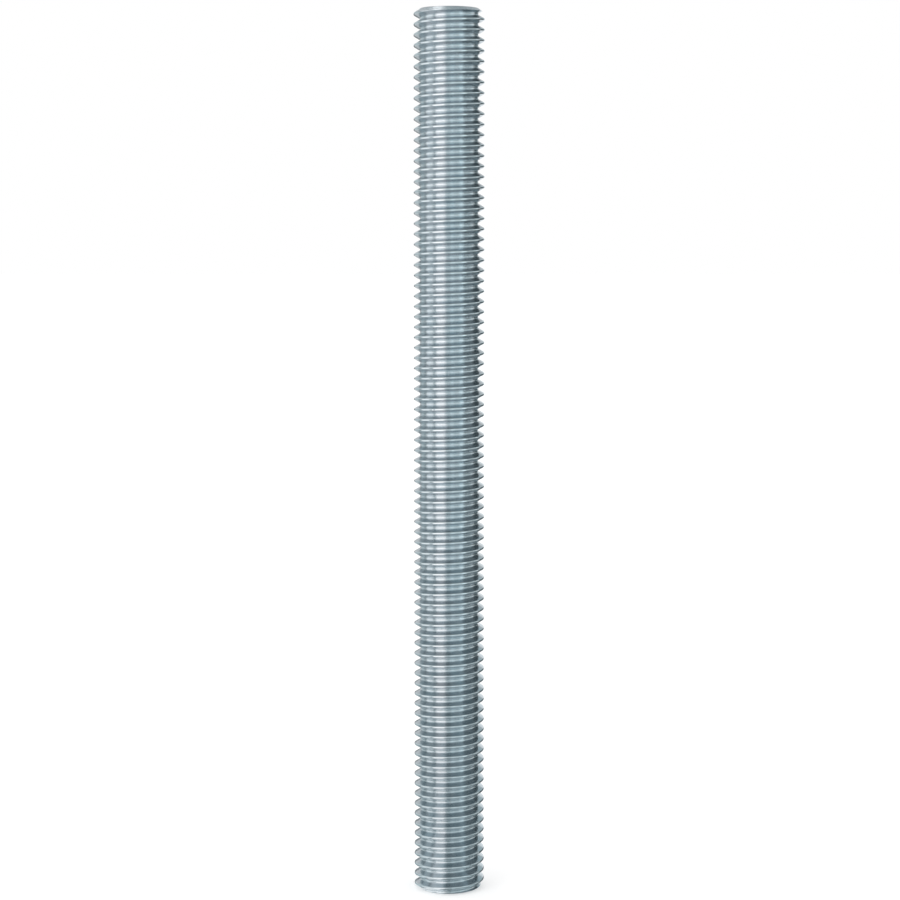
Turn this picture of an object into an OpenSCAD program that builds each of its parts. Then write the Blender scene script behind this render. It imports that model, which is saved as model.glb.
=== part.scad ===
// Threaded rod: a zinc-plated steel bar, threaded from end to end, with a chamfer at each end.
// It stands on its lower end face. The origin is the centre of that face, and +Z runs up the rod's axis.

/* [Rod] */
// Length from one end face to the other
rod_length = 150.5; // [60:0.5:190]
// Diameter over the crests of the thread
major_diameter = 12; // [9:0.5:20]

/* [Thread] */
// Distance from one crest to the next, along the rod
pitch = 1.75; // [1.25:0.05:2.5]
// Angle between the two flanks of a groove
flank_angle = 60; // [50:1:70]
// Width of the flat on the crest, as a share of the pitch
crest_share = 0.125; // [0.08:0.005:0.2]
// Width of the flat in the root, as a share of the pitch
root_share = 0.165; // [0.1:0.005:0.25]
// Height of the lowest whole crest on the +X side, above the lower end face
first_crest = 1.7; // [0.2:0.05:2.5]

/* [Ends] */
// Width of the chamfer, inwards from the crests
chamfer_width = 1.1; // [0.6:0.05:2]
// Angle between the chamfer and the end face
chamfer_angle = 35; // [25:1:60]

/* [Hidden] */

// The thread's profile over one pitch, upwards from a crest: crest flat, upper flank, root flat, lower flank
major_radius = major_diameter / 2;
crest_width = crest_share * pitch;
flank_height = pitch * (1 - crest_share - root_share) / 2;
thread_depth = flank_height / tan(flank_angle / 2);
minor_radius = major_radius - thread_depth;
profile = [
    [major_radius, -crest_width / 2],
    [major_radius, crest_width / 2],
    [minor_radius, crest_width / 2 + flank_height],
    [minor_radius, pitch - crest_width / 2 - flank_height]
];
corners = len(profile);

// The thread is swept past both end faces, by a turn or more, and the end cuts take off the excess
lowest_crest = first_crest - (ceil(first_crest / pitch) + 1) * pitch;
turns = ceil((rod_length - lowest_crest) / pitch) + 1;
rows = corners * turns;

// Flat facets round one turn, as many as the limit allows, in fours so that crests reach full width on X and Y
triangle_limit = 12000;
columns = 4 * floor(triangle_limit / (2 * rows) / 4);

// An end cut reaches this far out past the crests, and as far down as the sweep goes
cut_margin = 2;
cut_depth = 4 * pitch;

zinc = [0.62, 0.68, 0.71];

// Place of a corner of the sweep: columns step round the rod, and rows step up the profile and on up the helix
function corner_place(column, row) =
    let (
        corner = profile[row % corners],
        angle = 360 * column / columns,
        turn = floor(row / corners) + column / columns
    )
    [corner[0] * cos(angle), corner[0] * sin(angle), lowest_crest + turn * pitch + corner[1]];

// Number of that corner: past the last column, column 0 comes again with the helix one turn higher
function corner_number(column, row) =
    column < columns ? column * (rows + 1) + row : corner_number(column - columns, row + corners);

// The two triangles between one corner and its neighbours in the next column and the next row
function skin(column, row) =
    let (
        here = corner_number(column, row),
        beside = corner_number(column + 1, row),
        across = corner_number(column + 1, row + 1),
        above = corner_number(column, row + 1)
    )
    [[here, above, across], [here, across, beside]];

// Triangles that close an open end of the sweep, between a point on the axis and each edge of the end's loop
function cap(centre, loop) = [
    for (i = [0 : len(loop) - 1]) [centre, loop[i], loop[(i + 1) % len(loop)]]
];

// The whole thread as one closed body, longer than the rod
module thread_sweep() {
    last = columns - 1;
    swept_corners = [for (column = [0 : last]) for (row = [0 : rows]) corner_place(column, row)];
    flanks = [
        for (column = [0 : last])
            for (row = [0 : rows - 1 - (column == last ? corners : 0)])
                each skin(column, row)
    ];
    // Each end's loop runs once round the rod, and then along the step that the helix leaves in it
    low_loop = concat(
        [for (column = [0 : last]) corner_number(column, 0)],
        [for (row = [corners : -1 : 1]) corner_number(0, row)]
    );
    high_loop = concat(
        [for (row = [rows - corners : rows - 1]) corner_number(last, row)],
        [for (column = [last : -1 : 0]) corner_number(column, rows)]
    );
    low_centre = len(swept_corners);
    high_centre = low_centre + 1;
    centres = [[0, 0, lowest_crest], [0, 0, lowest_crest + turns * pitch]];
    polyhedron(
        points = concat(swept_corners, centres),
        faces = concat(flanks, cap(low_centre, low_loop), cap(high_centre, high_loop)),
        convexity = 10
    );
}

// What is cut away at the lower end: all below the end face, and the ring outside the chamfer's cone
module end_cut() {
    face_radius = major_radius - chamfer_width;
    outer_radius = major_radius + cut_margin;
    cone_height = (outer_radius - face_radius) * tan(chamfer_angle);
    rotate_extrude($fn = 96)
        polygon([
            [0, 0],
            [face_radius, 0],
            [outer_radius, cone_height],
            [outer_radius, -cut_depth],
            [0, -cut_depth]
        ]);
}

module threaded_rod() {
    color(zinc)
        difference() {
            thread_sweep();
            end_cut();
            translate([0, 0, rod_length]) mirror([0, 0, 1]) end_cut();
        }
}

threaded_rod();
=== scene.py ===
"""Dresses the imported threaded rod: a fine rolled thread in bright zinc, in a white light tent."""

import logging
import math
from dataclasses import dataclass, field
from enum import Enum

import bpy
import numpy as np
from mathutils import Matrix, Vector


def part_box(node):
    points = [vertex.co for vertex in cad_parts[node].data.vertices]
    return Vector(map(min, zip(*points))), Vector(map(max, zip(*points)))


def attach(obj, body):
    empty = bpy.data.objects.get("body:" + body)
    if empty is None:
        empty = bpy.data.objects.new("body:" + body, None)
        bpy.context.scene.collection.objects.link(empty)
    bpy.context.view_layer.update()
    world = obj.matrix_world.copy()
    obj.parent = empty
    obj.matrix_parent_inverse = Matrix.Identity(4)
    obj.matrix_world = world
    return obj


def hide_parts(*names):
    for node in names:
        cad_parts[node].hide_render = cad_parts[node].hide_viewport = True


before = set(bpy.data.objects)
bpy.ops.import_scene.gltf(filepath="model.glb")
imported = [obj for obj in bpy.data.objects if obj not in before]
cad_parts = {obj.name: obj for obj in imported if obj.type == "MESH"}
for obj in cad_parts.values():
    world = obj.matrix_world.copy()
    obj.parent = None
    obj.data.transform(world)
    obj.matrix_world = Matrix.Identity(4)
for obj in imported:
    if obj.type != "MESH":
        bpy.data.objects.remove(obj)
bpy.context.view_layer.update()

log = logging.getLogger("threaded_rod")

MM = 0.001
NODE = "threaded_rod"

Colour = tuple[float, float, float]
Socket = bpy.types.NodeSocket
Sockets = bpy.types.bpy_prop_collection
Feed = Socket | float | Colour


@dataclass
class Wiring:
    """Adds nodes to one node tree and links them."""

    tree: bpy.types.NodeTree

    def feed(self, socket: Socket, value: Feed) -> None:
        """Links or sets one input.

        Args:
            socket: the input.
            value: a socket to link, a number or a colour.
        """
        if isinstance(value, Socket):
            self.tree.links.new(value, socket)
        elif isinstance(value, tuple):
            socket.default_value = (*value, 1.0)
        else:
            socket.default_value = value

    def add(self, kind: str, feeds: dict[str | int, Feed]) -> bpy.types.Node:
        """Adds a node.

        Args:
            kind: the node's type.
            feeds: what goes into its inputs, by name or number.

        Returns:
            The node.
        """
        node = self.tree.nodes.new(kind)
        for key, value in feeds.items():
            self.feed(node.inputs[key], value)
        return node

    def math(self, operation: str, first: Feed, second: Feed = 0.0) -> Socket:
        """Works out one number from two.

        Args:
            operation: the Math node's operation.
            first: its first number.
            second: its second number, where it has one.

        Returns:
            The result.
        """
        node = self.add("ShaderNodeMath", {0: first, 1: second})
        node.operation = operation
        return node.outputs[0]

    def step(self, value: Feed, start: Feed, stop: Feed) -> Socket:
        """Makes a soft step.

        Args:
            value: what is measured.
            start: where the step is still 0.
            stop: where it has reached 1.

        Returns:
            A mask from 0 to 1.
        """
        node = self.add("ShaderNodeMapRange", {"Value": value, "From Min": start, "From Max": stop})
        node.interpolation_type = "SMOOTHSTEP"
        return node.outputs[0]

    def spread(self, mask: Feed, low: float, high: float) -> Socket:
        """Turns a mask into a number.

        Args:
            mask: 0 to 1.
            low: the number where the mask is 0.
            high: the number where it is 1.

        Returns:
            The number.
        """
        node = self.add("ShaderNodeMapRange", {"Value": mask, "To Min": low, "To Max": high})
        return node.outputs[0]

    def blend(self, mask: Feed, first: Feed, second: Feed) -> Socket:
        """Mixes two colours.

        Args:
            mask: 0 for the first colour, 1 for the second.
            first: a colour.
            second: a colour.

        Returns:
            The mixed colour.
        """
        node = self.tree.nodes.new("ShaderNodeMix")
        node.data_type = "RGBA"
        ends = [socket for socket in node.inputs if socket.type == "RGBA"]
        for socket, value in zip((node.inputs["Factor"], *ends), (mask, first, second)):
            self.feed(socket, value)
        return next(socket for socket in node.outputs if socket.type == "RGBA")

    def relief(self, height: Socket, size: float, surface: Socket | None = None) -> Socket:
        """Adds relief to a surface.

        Args:
            height: the relief, 0 to 1.
            size: its height in metres, below zero for dents.
            surface: the normal so far, if there is one.

        Returns:
            The new normal.
        """
        node = self.add("ShaderNodeBump", {"Distance": abs(size), "Height": height})
        node.invert = size < 0
        if surface is not None:
            self.feed(node.inputs["Normal"], surface)
        return node.outputs["Normal"]

    def split(self, place: Socket) -> tuple[Socket, Socket, Socket]:
        """Takes a place apart.

        Args:
            place: coordinates.

        Returns:
            Its x and y, and its distance from the rod's axis.
        """
        parts = self.add("ShaderNodeSeparateXYZ", {0: place}).outputs
        squares = [self.math("POWER", parts[axis], 2.0) for axis in ("X", "Y")]
        return parts["X"], parts["Y"], self.math("SQRT", self.math("ADD", *squares))


class Effect(Enum):
    """The shader node groups that the rod's finishes share."""

    ZONES = "thread_zones"
    CLOUDS = "plating_clouds"
    MARKS = "rolling_marks"
    RINGS = "turning_rings"
    NICKS = "handling_nicks"


@dataclass
class EffectShelf:
    """Builds each shared effect once and places it in materials.

    An edge says where a mask is still 0 and where it has reached 1.
    """

    made: dict[Effect, bpy.types.ShaderNodeTree] = field(default_factory=dict)
    # As shares of the thread's depth, up from the root. Crests and roots within these edges also get a
    # lighter colour, partly burnishing and partly a painted highlight
    crest_edge: tuple[float, float] = (0.78, 0.98)
    root_edge: tuple[float, float] = (0.20, 0.04)
    # As distances from the rim, in metres, for the painted shade along it
    rim_shade_edge: tuple[float, float] = (0.26 * MM, 0.06 * MM)
    # As values of the noise
    cloud_edge: tuple[float, float] = (0.28, 0.72)

    def build(self) -> None:
        """Builds every effect."""
        self._zones()
        self._clouds()
        self._marks()
        self._rings()
        self._nicks()

    def place(self, wiring: Wiring, effect: Effect, feeds: dict[str, Feed]) -> bpy.types.Node:
        """Places an effect in a material.

        Args:
            wiring: the material's nodes.
            effect: which effect to place.
            feeds: where it reads its place from, and its numbers.

        Returns:
            The group's node.
        """
        node = wiring.tree.nodes.new("ShaderNodeGroup")
        node.node_tree = self.made[effect]
        for name, value in feeds.items():
            wiring.feed(node.inputs[name], value)
        return node

    def _begin(
        self, effect: Effect, settings: dict[str, float], results: tuple[str, ...]
    ) -> tuple[Wiring, Sockets, Sockets]:
        """Makes an empty group with its sockets.

        Args:
            effect: which effect the group holds.
            settings: name and default of each number that a material may set.
            results: name of each mask or height that the group puts out.

        Returns:
            The group's wiring, the sockets that come in and the sockets that go out.
        """
        tree = bpy.data.node_groups.new(effect.value, "ShaderNodeTree")
        tree.interface.new_socket("Place", in_out="INPUT", socket_type="NodeSocketVector")
        for name, default in settings.items():
            socket = tree.interface.new_socket(name, in_out="INPUT", socket_type="NodeSocketFloat")
            socket.default_value = default
        for name in results:
            tree.interface.new_socket(name, in_out="OUTPUT", socket_type="NodeSocketFloat")
        self.made[effect] = tree
        given = tree.nodes.new("NodeGroupInput").outputs
        put = tree.nodes.new("NodeGroupOutput").inputs
        return Wiring(tree), given, put

    def _zones(self) -> None:
        """Masks for the crests, for crests and roots together (painted lighter, partly burnishing and
        partly a painted highlight), and for the painted shade along the rim of a cut end.
        """
        settings = {"Major Radius": 6 * MM, "Minor Radius": 5 * MM, "Rim Radius": 5 * MM}
        wiring, given, put = self._begin(Effect.ZONES, settings, ("Crest", "Burnish And Highlight", "Rim Shade"))
        _, _, radius = wiring.split(given["Place"])
        above_root = wiring.math("SUBTRACT", radius, given["Minor Radius"])
        depth = wiring.math("SUBTRACT", given["Major Radius"], given["Minor Radius"])
        share = wiring.math("DIVIDE", above_root, depth)
        crest = wiring.step(share, *self.crest_edge)
        root = wiring.step(share, *self.root_edge)
        wiring.feed(put["Crest"], crest)
        # Crests and roots together, painted lighter: partly burnishing, partly a painted highlight
        wiring.feed(put["Burnish And Highlight"], wiring.math("MAXIMUM", crest, root))
        # Mask for the painted shade along the rim of a cut end
        from_rim = wiring.math("ABSOLUTE", wiring.math("SUBTRACT", radius, given["Rim Radius"]))
        wiring.feed(put["Rim Shade"], wiring.step(from_rim, *self.rim_shade_edge))

    def _clouds(self) -> None:
        """Unevenness of the plating, in broad patches and in fine grain."""
        settings = {"Patch Scale": 420.0, "Grain Scale": 6000.0}
        wiring, given, put = self._begin(Effect.CLOUDS, settings, ("Patches", "Grain"))
        for result, scale, detail in (("Patches", "Patch Scale", 3.0), ("Grain", "Grain Scale", 2.0)):
            noise = wiring.add("ShaderNodeTexNoise", {
                "Vector": given["Place"],
                "Scale": given[scale],
                "Detail": detail,
            })
            wiring.feed(put[result], wiring.step(noise.outputs["Fac"], *self.cloud_edge))

    def _marks(self) -> None:
        """Fine lines that run round the rod along the thread, left by the rolling dies."""
        settings = {"Line Scale": 9000.0, "Length Scale": 260.0}
        wiring, given, put = self._begin(Effect.MARKS, settings, ("Height",))
        x, y, radius = wiring.split(given["Place"])
        stretched = wiring.add("ShaderNodeCombineXYZ", {
            "X": wiring.math("MULTIPLY", x, given["Length Scale"]),
            "Y": wiring.math("MULTIPLY", y, given["Length Scale"]),
            "Z": wiring.math("MULTIPLY", radius, given["Line Scale"]),
        })
        noise = wiring.add("ShaderNodeTexNoise", {"Vector": stretched.outputs[0], "Scale": 1.0})
        wiring.feed(put["Height"], noise.outputs["Fac"])

    def _rings(self) -> None:
        """Rings round the axis, as a lathe tool leaves them on a faced end."""
        settings = {"Ring Scale": 1300.0, "Unevenness": 0.8}
        wiring, given, put = self._begin(Effect.RINGS, settings, ("Height",))
        rings = wiring.add("ShaderNodeTexWave", {
            "Vector": given["Place"],
            "Scale": given["Ring Scale"],
            "Distortion": given["Unevenness"],
            "Detail Scale": 0.4,
        })
        rings.wave_type = "RINGS"
        rings.rings_direction = "Z"
        wiring.feed(put["Height"], rings.outputs["Fac"])

    def _nicks(self) -> None:
        """Small scattered dents, where rods have knocked together."""
        settings = {"Spread": 420.0, "Size": 0.16, "Share Without": 0.86}
        wiring, given, put = self._begin(Effect.NICKS, settings, ("Depth",))
        cells = wiring.add("ShaderNodeTexVoronoi", {
            "Vector": given["Place"],
            "Scale": given["Spread"],
        })
        dent = wiring.step(cells.outputs["Distance"], given["Size"], 0.0)
        lot = wiring.add("ShaderNodeSeparateColor", {0: cells.outputs["Color"]}).outputs[0]
        chosen = wiring.math("GREATER_THAN", lot, given["Share Without"])
        wiring.feed(put["Depth"], wiring.math("MULTIPLY", dent, chosen))


@dataclass(frozen=True)
class ThreadProfile:
    """The metric thread's outline over one pitch, with the rounded crest and root that rolling leaves.

    Lengths are in metres, and shares are of the pitch. The outline starts at the lower edge of a crest
    and runs upwards.
    """

    major_radius: float
    pitch: float = 1.75 * MM
    # Half the angle between the two flanks of a groove
    half_angle: float = math.radians(30)
    crest_share: float = 0.155
    root_share: float = 0.135
    crest_rounding: float = 0.19 * MM
    crest_steps: int = 3
    root_steps: int = 6

    @property
    def flank_turn(self) -> float:
        """Angle that the surface turns through between a crest or a root and a flank."""
        return math.pi / 2 - self.half_angle

    @property
    def minor_radius(self) -> float:
        """Radius at the bottom of the root."""
        flank_height = self.pitch * (1 - self.crest_share - self.root_share) / 2
        return self.major_radius - flank_height / math.tan(self.half_angle)

    def crest(self) -> list[tuple[float, float]]:
        """Rounds both edges of the crest's flat.

        Returns:
            (radius, height) of each point, upwards, with the crest's middle at height 0.
        """
        rounding = self.crest_rounding
        flat_half = self.crest_share * self.pitch / 2 - rounding * math.tan(self.flank_turn / 2)
        upper = []
        for step in range(self.crest_steps + 1):
            tilt = self.flank_turn * step / self.crest_steps
            radius = self.major_radius - rounding * (1 - math.cos(tilt))
            upper.append((radius, flat_half + rounding * math.sin(tilt)))
        return [(radius, -height) for radius, height in reversed(upper)] + upper

    def root(self) -> list[tuple[float, float]]:
        """Turns the root's flat into one arc that runs into both flanks.

        Returns:
            (radius, height) of each point, upwards, with the root's middle half a pitch up.
        """
        rounding = self.root_share * self.pitch / 2 / math.tan(self.flank_turn / 2)
        points = []
        for step in range(self.root_steps + 1):
            tilt = self.flank_turn * (2 * step / self.root_steps - 1)
            radius = self.minor_radius + rounding * (1 - math.cos(tilt))
            points.append((radius, self.pitch / 2 + rounding * math.sin(tilt)))
        return points


@dataclass(frozen=True)
class EndProfile:
    """The outline of a cut end: a flat face, a rounded rim and a chamfer. Lengths are in metres."""

    chamfer_width: float = 1.1 * MM
    chamfer_angle: float = math.radians(35)
    rim_rounding: float = 0.15 * MM
    rim_steps: int = 4
    # How far past the crests the outline goes
    reach: float = 0.5 * MM

    def face_radius(self, major_radius: float) -> float:
        """Works out where the flat face meets the chamfer.

        Args:
            major_radius: radius over the thread's crests.

        Returns:
            The face's radius, as it would be with a sharp rim.
        """
        return major_radius - self.chamfer_width

    def outline(self, major_radius: float) -> list[tuple[float, float]]:
        """Works out the end's outline, outwards from the flat face and on past the crests.

        Args:
            major_radius: radius over the thread's crests.

        Returns:
            (radius, distance from the end face) of each point.
        """
        face_radius = self.face_radius(major_radius)
        flat_radius = face_radius - self.rim_rounding * math.tan(self.chamfer_angle / 2)
        points = []
        for step in range(self.rim_steps + 1):
            tilt = self.chamfer_angle * step / self.rim_steps
            inset = self.rim_rounding * (1 - math.cos(tilt))
            points.append((flat_radius + self.rim_rounding * math.sin(tilt), inset))
        outer_radius = major_radius + self.reach
        points.append((outer_radius, (outer_radius - face_radius) * math.tan(self.chamfer_angle)))
        return points


@dataclass(frozen=True)
class ZincFinish:
    """Bright zinc plating over steel, with the marks of the way the surface was made.

    Lengths are in metres. The crests and roots take a lighter colour, partly for burnishing and partly
    as a painted highlight, and the worked roughness is that of the crests alone. A darker colour along
    the rim of a cut end is painted shade.
    """

    name: str
    colour: Colour
    cloud_colour: Colour
    # Lighter colour of the crests and roots: partly burnishing, partly a painted highlight
    burnish_and_highlight_colour: Colour
    roughness: float
    worked_roughness: float
    marks: Effect
    mark_height: float
    cloud_height: float = 0.016 * MM
    nick_depth: float = 0.03 * MM
    # The fine grain varies the roughness between these two factors
    grain_spread: tuple[float, float] = (0.85, 1.2)
    # A dark line of painted shade along the rim of the cut end, and how much of it shows from patch to
    # patch
    rim_shade_colour: Colour = (0.26, 0.28, 0.295)
    rim_shade_spread: tuple[float, float] = (0.0, 0.0)

    def build(
        self, effects: EffectShelf, thread: ThreadProfile, end: EndProfile
    ) -> bpy.types.Material:
        """Builds the material.

        Args:
            effects: the shared node groups.
            thread: the thread that the crest and root masks follow.
            end: the cut end that the rim's mask follows.

        Returns:
            The material.
        """
        material = bpy.data.materials.new(self.name)
        material.use_nodes = True
        wiring = Wiring(material.node_tree)
        shader = material.node_tree.nodes["Principled BSDF"]
        shader.inputs["Metallic"].default_value = 1.0
        place = wiring.add("ShaderNodeTexCoord", {}).outputs["Object"]
        zones = effects.place(wiring, Effect.ZONES, {
            "Place": place,
            "Major Radius": thread.major_radius,
            "Minor Radius": thread.minor_radius,
            "Rim Radius": end.face_radius(thread.major_radius),
        }).outputs
        clouds = effects.place(wiring, Effect.CLOUDS, {"Place": place}).outputs
        marks = effects.place(wiring, self.marks, {"Place": place}).outputs
        nicks = effects.place(wiring, Effect.NICKS, {"Place": place}).outputs

        plated = wiring.blend(clouds["Patches"], self.colour, self.cloud_colour)
        # Crests and roots painted lighter: partly burnishing, partly a painted highlight
        burnished_and_highlit = wiring.blend(zones["Burnish And Highlight"], plated, self.burnish_and_highlight_colour)
        # A darker line along the rim of the cut end is painted shade, uneven from patch to patch
        rim_shade_showing = wiring.spread(clouds["Patches"], *self.rim_shade_spread)
        rim = wiring.math("MULTIPLY", zones["Rim Shade"], rim_shade_showing)
        wiring.feed(shader.inputs["Base Color"], wiring.blend(rim, burnished_and_highlit, self.rim_shade_colour))

        smooth = wiring.spread(zones["Crest"], self.roughness, self.worked_roughness)
        grain = wiring.spread(clouds["Grain"], *self.grain_spread)
        wiring.feed(shader.inputs["Roughness"], wiring.math("MULTIPLY", smooth, grain))

        surface = wiring.relief(clouds["Patches"], self.cloud_height)
        surface = wiring.relief(marks["Height"], self.mark_height, surface)
        surface = wiring.relief(nicks["Depth"], -self.nick_depth, surface)
        wiring.feed(shader.inputs["Normal"], surface)
        return material


ROLLED_THREAD = ZincFinish(
    name="zinc_rolled_thread",
    colour=(0.59, 0.65, 0.685),
    cloud_colour=(0.65, 0.675, 0.70),
    # Lighter crests and roots: partly burnishing, partly a painted highlight
    burnish_and_highlight_colour=(0.84, 0.88, 0.90),
    roughness=0.2,
    worked_roughness=0.14,
    marks=Effect.MARKS,
    mark_height=0.0012 * MM,
)
TURNED_END = ZincFinish(
    name="zinc_turned_end",
    colour=(0.66, 0.70, 0.725),
    cloud_colour=(0.60, 0.65, 0.68),
    burnish_and_highlight_colour=(0.74, 0.77, 0.79),
    roughness=0.27,
    worked_roughness=0.22,
    marks=Effect.RINGS,
    mark_height=0.004 * MM,
    # The painted shade along the rim shows on the cut ends
    rim_shade_spread=(0.3, 0.75),
)


@dataclass
class ThreadedRod:
    """The rod: its thread, end faces and chamfers, as one mesh.

    Lengths are in metres. Its place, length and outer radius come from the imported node.
    """

    low: Vector
    high: Vector
    effects: EffectShelf
    # Height of the lowest whole crest on the +X side, above the lower end face
    first_crest: float = 1.7 * MM
    # Steps of the helix in one turn
    columns: int = 64
    # Shares no factor with the columns, so that no edge of the cutter lies along one of the sweep's
    cutter_sides: int = 193
    sharp_angle: float = math.radians(32)
    end: EndProfile = EndProfile()
    thread: ThreadProfile = field(init=False)

    def __post_init__(self) -> None:
        """Takes the thread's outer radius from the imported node's box."""
        self.thread = ThreadProfile(major_radius=(self.high.x - self.low.x) / 2)

    def build(self) -> bpy.types.Object:
        """Cuts the swept thread to the rod's ends and smooths its shading.

        The faces that the cut makes take the turned finish from the cutter.

        Returns:
            The finished rod, in place.
        """
        rod = self._dressed("zinc_threaded_rod", self._swept_thread(), ROLLED_THREAD)
        cutter = self._dressed("end_cutter", self._end_cutter(), TURNED_END)
        cut = rod.modifiers.new("ends", "BOOLEAN")
        cut.operation = "INTERSECT"
        cut.solver = "EXACT"
        cut.material_mode = "TRANSFER"
        cut.object = cutter
        self._apply(rod)
        bpy.data.objects.remove(cutter)
        rod.data.shade_smooth()
        rod.data.set_sharp_from_angle(angle=self.sharp_angle)
        weighted = rod.modifiers.new("flat_flanks", "WEIGHTED_NORMAL")
        weighted.keep_sharp = True
        self._apply(rod)
        return rod

    def _dressed(self, name: str, mesh: bpy.types.Mesh, finish: ZincFinish) -> bpy.types.Object:
        """Puts a mesh in the scene with its finish.

        Args:
            name: the object's name.
            mesh: its form.
            finish: how it is plated.

        Returns:
            The object.
        """
        mesh.materials.append(finish.build(self.effects, self.thread, self.end))
        piece = bpy.data.objects.new(name, mesh)
        bpy.context.scene.collection.objects.link(piece)
        return piece

    @staticmethod
    def _apply(piece: bpy.types.Object) -> None:
        """Turns a piece's modifiers into its mesh.

        Args:
            piece: the piece.
        """
        depsgraph = bpy.context.evaluated_depsgraph_get()
        made = bpy.data.meshes.new_from_object(piece.evaluated_get(depsgraph))
        made.name = piece.name
        piece.modifiers.clear()
        piece.data = made

    def _swept_thread(self) -> bpy.types.Mesh:
        """Sweeps the thread's outline up a right-hand helix, past both end faces.

        Returns:
            A closed mesh, longer than the rod by a turn or more at each end.
        """
        outline = np.array(self.thread.crest() + self.thread.root())
        corners = len(outline)
        pitch = self.thread.pitch
        lowest = self.low.z + self.first_crest - (math.ceil(self.first_crest / pitch) + 1) * pitch
        turns = math.ceil((self.high.z - lowest) / pitch) + 1
        rows = corners * turns
        row = np.arange(rows + 1)
        radius = outline[row % corners, 0]
        height = lowest + (row // corners) * pitch + outline[row % corners, 1]
        stacks = []
        for column in range(self.columns):
            share = column / self.columns
            x = radius * math.cos(2 * math.pi * share)
            y = radius * math.sin(2 * math.pi * share)
            stacks.append(np.stack((x, y, height + share * pitch), axis=1))
        points = np.concatenate(stacks).tolist()

        def corner(column: int, step: int) -> int:
            """Number of a corner: past the last column, column 0 comes again one turn higher."""
            return step + corners if column == self.columns else column * (rows + 1) + step

        last = self.columns - 1
        faces = []
        for column in range(self.columns):
            for step in range(rows - (corners if column == last else 0)):
                lower = (corner(column, step), corner(column + 1, step))
                upper = (corner(column + 1, step + 1), corner(column, step + 1))
                faces.append(lower + upper)
        # Each end's loop runs once round the rod, and then along the step that the helix leaves in it
        low_loop = [corner(column, 0) for column in range(self.columns)]
        low_loop += [corner(0, step) for step in range(corners, 0, -1)]
        high_loop = [corner(last, step) for step in range(rows - corners, rows)]
        high_loop += [corner(column, rows) for column in range(last, -1, -1)]
        for loop, z in ((low_loop, lowest), (high_loop, lowest + turns * pitch)):
            centre = len(points)
            points.append((0.0, 0.0, z))
            faces += [(centre, after, before) for before, after in zip(loop, loop[1:] + loop[:1])]
        mesh = bpy.data.meshes.new("swept_thread")
        mesh.from_pydata(points, [], faces)
        return mesh

    def _end_cutter(self) -> bpy.types.Mesh:
        """Turns the room that the rod may fill: a bar with a flat face and a chamfer at each end.

        Returns:
            A closed mesh, wider than the thread between its chamfers.
        """
        half = self.end.outline(self.thread.major_radius)
        rings = [(radius, self.low.z + inset) for radius, inset in half]
        rings += [(radius, self.high.z - inset) for radius, inset in reversed(half)]
        sides = self.cutter_sides
        points = []
        for radius, z in rings:
            for side in range(sides):
                # Half a step on, so that no corner meets the sweep's seam
                angle = 2 * math.pi * (side + 0.5) / sides
                points.append((radius * math.cos(angle), radius * math.sin(angle), z))
        faces = []
        for ring in range(len(rings) - 1):
            for side in range(sides):
                here = ring * sides + side
                beside = ring * sides + (side + 1) % sides
                faces.append((here, beside, beside + sides, here + sides))
        faces.append(tuple(reversed(range(sides))))
        faces.append(tuple(range(len(points) - sides, len(points))))
        mesh = bpy.data.meshes.new("end_cutter")
        mesh.from_pydata(points, [], faces)
        return mesh


class CardTone(Enum):
    """The colours of the studio's cards, from the warmest to the coldest."""

    SOFTBOX = (1.0, 0.985, 0.99)
    COOL = (0.93, 0.975, 1.0)
    GREY = (0.82, 0.955, 1.0)
    BLUE = (0.75, 0.935, 1.0)

    def colder(self) -> "CardTone":
        """Gives the next colder tone."""
        tones = list(CardTone)
        return tones[min(tones.index(self) + 1, len(tones) - 1)]


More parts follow.
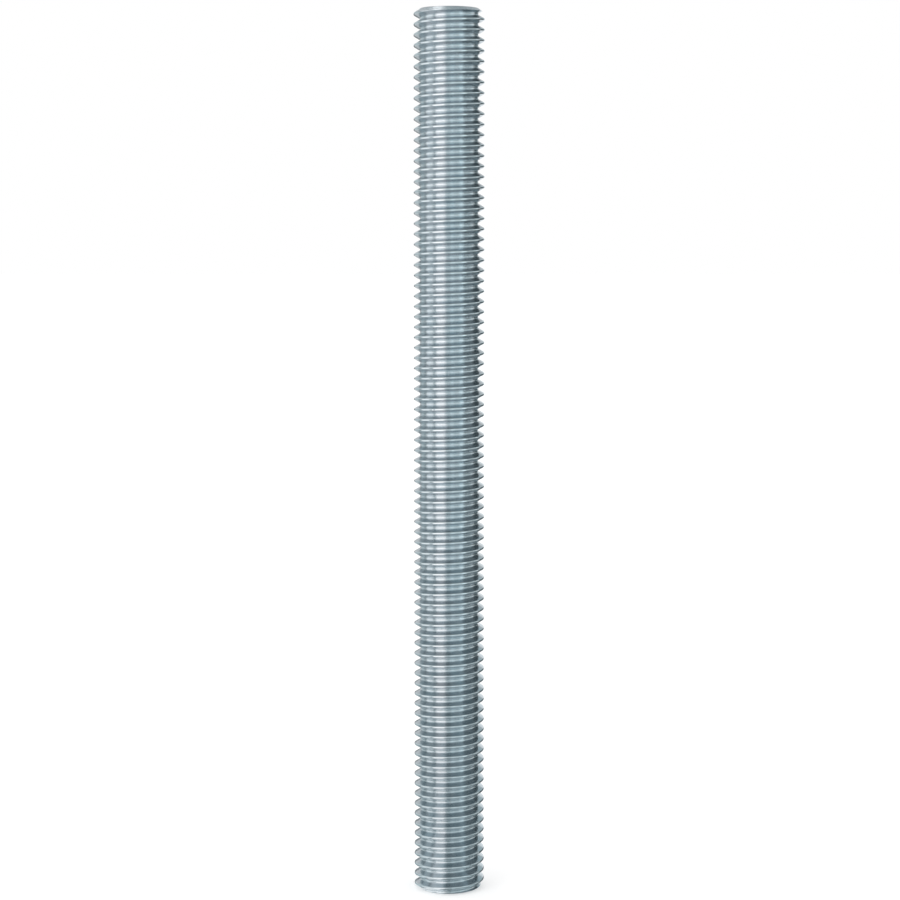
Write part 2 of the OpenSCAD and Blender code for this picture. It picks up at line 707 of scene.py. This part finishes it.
@dataclass(frozen=True)
class StudioCard:
    """A card of the light tent, which only reflections show.

    Azimuth 0 is towards the camera and positive to its right, and elevation is above the floor. Both
    are in degrees, and lengths are in metres. A card may start on the floor, between two distances from
    the rod's axis. One with a radius share below 1 hangs in front of those of the full radius.
    """

    name: str
    azimuth: tuple[float, float]
    tone: CardTone
    strength: float
    floor: tuple[float, float] | None = None
    elevation: tuple[float, float] | None = None
    # Degrees from one fold of the card to the next, roughly
    step: float = 5.0
    # Height above the floor, so that the card shows instead of it
    lift: float = 0.1 * MM
    radius_share: float = 1.0

    def _outline(self, radius: float) -> list[tuple[float, float]]:
        """Works out the card's outline, outwards along the floor and then up the tent.

        Args:
            radius: the tent's radius.

        Returns:
            (distance from the rod's axis, height above the floor) of each point.
        """
        reach = radius * self.radius_share
        points = []
        if self.floor is not None:
            points += [(distance, self.lift) for distance in self.floor]
        if self.elevation is not None:
            low, high = self.elevation
            rises = round((high - low) / self.step)
            for rise in range(rises + 1):
                tilt = math.radians(low + (high - low) * rise / rises)
                points.append((reach * math.cos(tilt), self.lift + reach * math.sin(tilt)))
        return points

    def build(self, foot: Vector, radius: float) -> None:
        """Bends the card round the rod.

        Args:
            foot: the middle of the rod's lower end.
            radius: the tent's radius.
        """
        left, right = self.azimuth
        columns = math.ceil((right - left) / self.step)
        outline = self._outline(radius)
        points = []
        for column in range(columns + 1):
            turn = math.radians(left + (right - left) * column / columns)
            for distance, height in outline:
                corner = Vector((distance * math.sin(turn), -distance * math.cos(turn), height))
                points.append(foot + corner)
        faces = []
        for column in range(columns):
            for rise in range(len(outline) - 1):
                here = column * len(outline) + rise
                beside = here + len(outline)
                faces.append((here, beside, beside + 1, here + 1))
        mesh = bpy.data.meshes.new(self.name)
        mesh.from_pydata(points, [], faces)
        mesh.materials.append(self._glow())
        card = bpy.data.objects.new(self.name, mesh)
        bpy.context.scene.collection.objects.link(card)
        card.visible_camera = False
        card.visible_diffuse = False
        card.visible_shadow = False
        card.visible_transmission = False

    def _glow(self) -> bpy.types.Material:
        """Makes the card's even glow.

        Returns:
            The material.
        """
        material = bpy.data.materials.new(self.name)
        material.use_nodes = True
        nodes = material.node_tree.nodes
        nodes.remove(nodes["Principled BSDF"])
        wiring = Wiring(material.node_tree)
        glow = wiring.add("ShaderNodeEmission", {
            "Color": self.tone.value,
            "Strength": self.strength,
        })
        wiring.feed(nodes["Material Output"].inputs["Surface"], glow.outputs[0])
        material.cycles.emission_sampling = "NONE"
        return material


@dataclass(frozen=True)
class TentRows:
    """Where the light tent's rows of cards meet.

    The first three are distances from the rod's axis on the floor, in metres. The others are elevations,
    in degrees, from the horizon up to the top of the tent.
    """

    foot: float = 5.2 * MM
    close_by: float = 32 * MM
    level: float = 130 * MM
    horizon: float = 0.0
    high: float = 20.0
    ceiling: float = 52.0
    zenith: float = 90.0


ROWS = TentRows()


@dataclass(frozen=True)
class LightBand:
    """An upright slice of the light tent, from the floor at the rod's foot to high above the camera.

    It has a strength of its own on the floor at the foot, on the floor close by, at the rod's level and
    high up, because each of them shows in another part of the thread. Its cards on the floor at the foot
    and close by are one tone colder.
    """

    name: str
    azimuth: tuple[float, float]
    tone: CardTone
    at_foot: float
    close_by: float
    level: float
    high: float

    def build(self, foot: Vector, radius: float) -> None:
        """Builds the slice's four cards.

        Args:
            foot: the middle of the rod's lower end.
            radius: the tent's radius.
        """
        colder = self.tone.colder()
        parts = (
            ("foot", colder, self.at_foot, (ROWS.foot, ROWS.close_by), None),
            ("close", colder, self.close_by, (ROWS.close_by, ROWS.level), None),
            ("level", self.tone, self.level, (ROWS.level, radius), (ROWS.horizon, ROWS.high)),
            ("high", self.tone, self.high, None, (ROWS.high, ROWS.ceiling)),
        )
        for part, tone, strength, floor, elevation in parts:
            card = StudioCard(f"{self.name}_{part}", self.azimuth, tone, strength, floor, elevation)
            card.build(foot, radius)


# Once round the rod: each band's name, azimuths and tone, and its strengths from the foot upwards
LIGHT_BANDS = (
    LightBand("edge_left", (-180, -152), CardTone.COOL, 0.24, 0.38, 0.72, 0.64),
    LightBand("behind_left", (-152, -120), CardTone.GREY, 0.46, 0.44, 0.56, 0.68),
    LightBand("gap_behind", (-120, -104), CardTone.GREY, 0.32, 0.30, 0.36, 0.52),
    LightBand("softbox_left", (-104, -68), CardTone.COOL, 0.72, 0.50, 1.00, 0.84),
    LightBand("gap_left", (-68, -55), CardTone.GREY, 0.40, 0.34, 0.46, 0.72),
    LightBand("softbox_front", (-55, -18), CardTone.SOFTBOX, 0.90, 0.58, 1.30, 1.00),
    LightBand("softbox_edge", (-18, -12), CardTone.COOL, 0.54, 0.36, 0.86, 0.98),
    LightBand("front", (-12, 6), CardTone.GREY, 0.25, 0.19, 0.64, 0.60),
    LightBand("strip_front", (6, 18), CardTone.GREY, 0.36, 0.36, 0.94, 0.75),
    LightBand("right", (18, 43), CardTone.GREY, 0.36, 0.41, 0.64, 0.80),
    LightBand("strip_right", (43, 60), CardTone.GREY, 0.50, 0.52, 1.04, 0.85),
    LightBand("side", (60, 112), CardTone.GREY, 0.25, 0.24, 0.30, 1.15),
    LightBand("flag_right", (112, 140), CardTone.BLUE, 0.10, 0.10, 0.11, 0.30),
    LightBand("flag_behind", (140, 158), CardTone.BLUE, 0.10, 0.10, 0.11, 0.60),
    LightBand("edge_right", (158, 180), CardTone.COOL, 1.00, 1.00, 1.00, 0.60),
)
# Panels over the rod, from the high cards up to the top of the tent
OVERHEAD = (ROWS.ceiling, ROWS.zenith)
CEILING = (
    StudioCard("ceiling_left", (-180, -40), CardTone.GREY, 0.50, elevation=OVERHEAD),
    StudioCard("ceiling_front", (-40, 40), CardTone.GREY, 0.40, elevation=OVERHEAD),
    StudioCard("ceiling_right", (40, 145), CardTone.GREY, 0.16, elevation=OVERHEAD),
    StudioCard("ceiling_back", (145, 180), CardTone.GREY, 0.50, elevation=OVERHEAD),
)
# Single cards hang in front of the others, at this share of the tent's radius
INNER_SHARE = 0.97
SINGLE_CARDS = (
    # A dark line along the horizon behind the rod's left side darkens the tips of the thread there
    StudioCard(
        "horizon_left", (-180, -150), CardTone.GREY, 0.1,
        floor=(0.6, 0.87), elevation=(0.0, 7.0), lift=0.4 * MM, radius_share=INNER_SHARE,
    ),
    # A dark card high on the right keeps the lower flanks dark between the bright crests there
    StudioCard(
        "flag_high", (60, 145), CardTone.BLUE, 0.18,
        elevation=(34.0, 54.0), radius_share=INNER_SHARE,
    ),
    # A small bright card, which the crests mirror as short streaks near the rod's right edge
    StudioCard(
        "streak_right", (98, 120), CardTone.COOL, 1.1,
        elevation=(11.0, 23.0), step=3.0, radius_share=INNER_SHARE,
    ),
    # The front softbox reaches over the rod to here, and the upper chamfer mirrors it
    StudioCard(
        "softbox_overhead", (-170, -157), CardTone.SOFTBOX, 2.0,
        elevation=(54.0, 68.0), radius_share=INNER_SHARE,
    ),
)


@dataclass
class Studio:
    """Camera, floor, world, lamp and light tent.

    Lengths are in metres, and places are measured from the middle of the rod's lower end.
    """

    low: Vector
    high: Vector
    camera_place: tuple[float, float, float] = (0.14 * MM, -400 * MM, 113 * MM)
    camera_tilt: float = math.radians(5.27)
    # The photograph's focal length, as fitted, and its width, both in its own pixels
    focal_pixels: float = 2353.0
    picture_pixels: float = 900.0
    # Width of the camera's sensor in millimetres
    sensor: float = 36.0
    tent_radius: float = 0.9
    floor_reach: float = 6.0
    floor_colour: Colour = (0.86, 0.86, 0.86)
    floor_roughness: float = 0.9
    # What the floor adds where it is seen, so that it is white beside the light that falls on it
    floor_glow: float = 0.42
    # Strength of the white world as a light, where 1 is the strength at which it is seen
    world_light: float = 0.75
    lamp_place: tuple[float, float, float] = (-0.55, -0.75, 0.9)
    lamp_size: float = 0.6
    # In watts
    lamp_power: float = 1.6

    @property
    def foot(self) -> Vector:
        """The middle of the rod's lower end."""
        return Vector((0.0, 0.0, self.low.z))

    def build(self) -> None:
        """Sets up the whole studio."""
        bpy.context.scene.view_settings.view_transform = "Standard"
        self._camera()
        self._world()
        self._floor()
        self._lamp()
        for light in (*LIGHT_BANDS, *CEILING, *SINGLE_CARDS):
            light.build(self.foot, self.tent_radius)

    def _camera(self) -> None:
        """Sets the camera level with the upper half of the rod, tilted down to hold all of it."""
        data = bpy.data.cameras.new("camera")
        data.sensor_width = self.sensor
        data.lens = self.focal_pixels / self.picture_pixels * self.sensor
        camera = bpy.data.objects.new("camera", data)
        camera.location = self.foot + Vector(self.camera_place)
        camera.rotation_euler = (math.pi / 2 - self.camera_tilt, 0.0, 0.0)
        bpy.context.scene.collection.objects.link(camera)
        bpy.context.scene.camera = camera

    @staticmethod
    def _seen(wiring: Wiring) -> Socket:
        """Tells the rays that show a surface, also in a reflection, from those that light others.

        Args:
            wiring: the nodes of the surface or the world.

        Returns:
            1 for camera, glossy and transmission rays, and 0 for the rest.
        """
        path = wiring.add("ShaderNodeLightPath", {}).outputs
        direct = wiring.math("MAXIMUM", path["Is Camera Ray"], path["Is Glossy Ray"])
        return wiring.math("MAXIMUM", direct, path["Is Transmission Ray"])

    def _world(self) -> None:
        """Makes a white background that lights the scene softly."""
        world = bpy.data.worlds.new("white_studio")
        bpy.context.scene.world = world
        world.use_nodes = True
        wiring = Wiring(world.node_tree)
        background = world.node_tree.nodes["Background"]
        wiring.feed(background.inputs["Color"], (1.0, 1.0, 1.0))
        strength = wiring.spread(self._seen(wiring), self.world_light, 1.0)
        wiring.feed(background.inputs["Strength"], strength)

    def _floor(self) -> None:
        """Lays a wide white floor that keeps the rod's shadow."""
        reach = self.floor_reach
        z = self.low.z
        corners = [(-reach, -reach, z), (reach, -reach, z), (reach, reach, z), (-reach, reach, z)]
        mesh = bpy.data.meshes.new("floor")
        mesh.from_pydata(corners, [], [(0, 1, 2, 3)])
        material = bpy.data.materials.new("white_floor")
        material.use_nodes = True
        nodes = material.node_tree.nodes
        wiring = Wiring(material.node_tree)
        shader = nodes["Principled BSDF"]
        wiring.feed(shader.inputs["Base Color"], self.floor_colour)
        wiring.feed(shader.inputs["Roughness"], self.floor_roughness)
        wiring.feed(shader.inputs["Specular IOR Level"], 0.0)
        strength = wiring.spread(self._seen(wiring), 0.0, self.floor_glow)
        glow = wiring.add("ShaderNodeEmission", {"Strength": strength})
        both = wiring.add("ShaderNodeAddShader", {0: shader.outputs[0], 1: glow.outputs[0]})
        wiring.feed(nodes["Material Output"].inputs["Surface"], both.outputs[0])
        mesh.materials.append(material)
        floor = bpy.data.objects.new("floor", mesh)
        bpy.context.scene.collection.objects.link(floor)

    def _lamp(self) -> None:
        """Hangs one broad soft lamp at the upper left, in front."""
        data = bpy.data.lights.new("soft_lamp", "AREA")
        data.size = self.lamp_size
        data.energy = self.lamp_power
        lamp = bpy.data.objects.new("soft_lamp", data)
        lamp.location = self.foot + Vector(self.lamp_place)
        middle = (self.low + self.high) / 2
        lamp.rotation_euler = (middle - lamp.location).to_track_quat("-Z", "Y").to_euler()
        lamp.visible_glossy = False
        bpy.context.scene.collection.objects.link(lamp)


def main() -> None:
    """Builds the rod and the studio."""
    logging.basicConfig(level=logging.INFO, format="%(name)s: %(message)s")
    effects = EffectShelf()
    effects.build()
    rod = ThreadedRod(*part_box(NODE), effects).build()
    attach(rod, "root")
    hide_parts(NODE)
    finishes = ", ".join(rod.data.materials.keys())
    log.info("%s: %d faces, finishes %s", rod.name, len(rod.data.polygons), finishes)
    Studio(*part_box(NODE)).build()


if __name__ == "__main__":
    main()
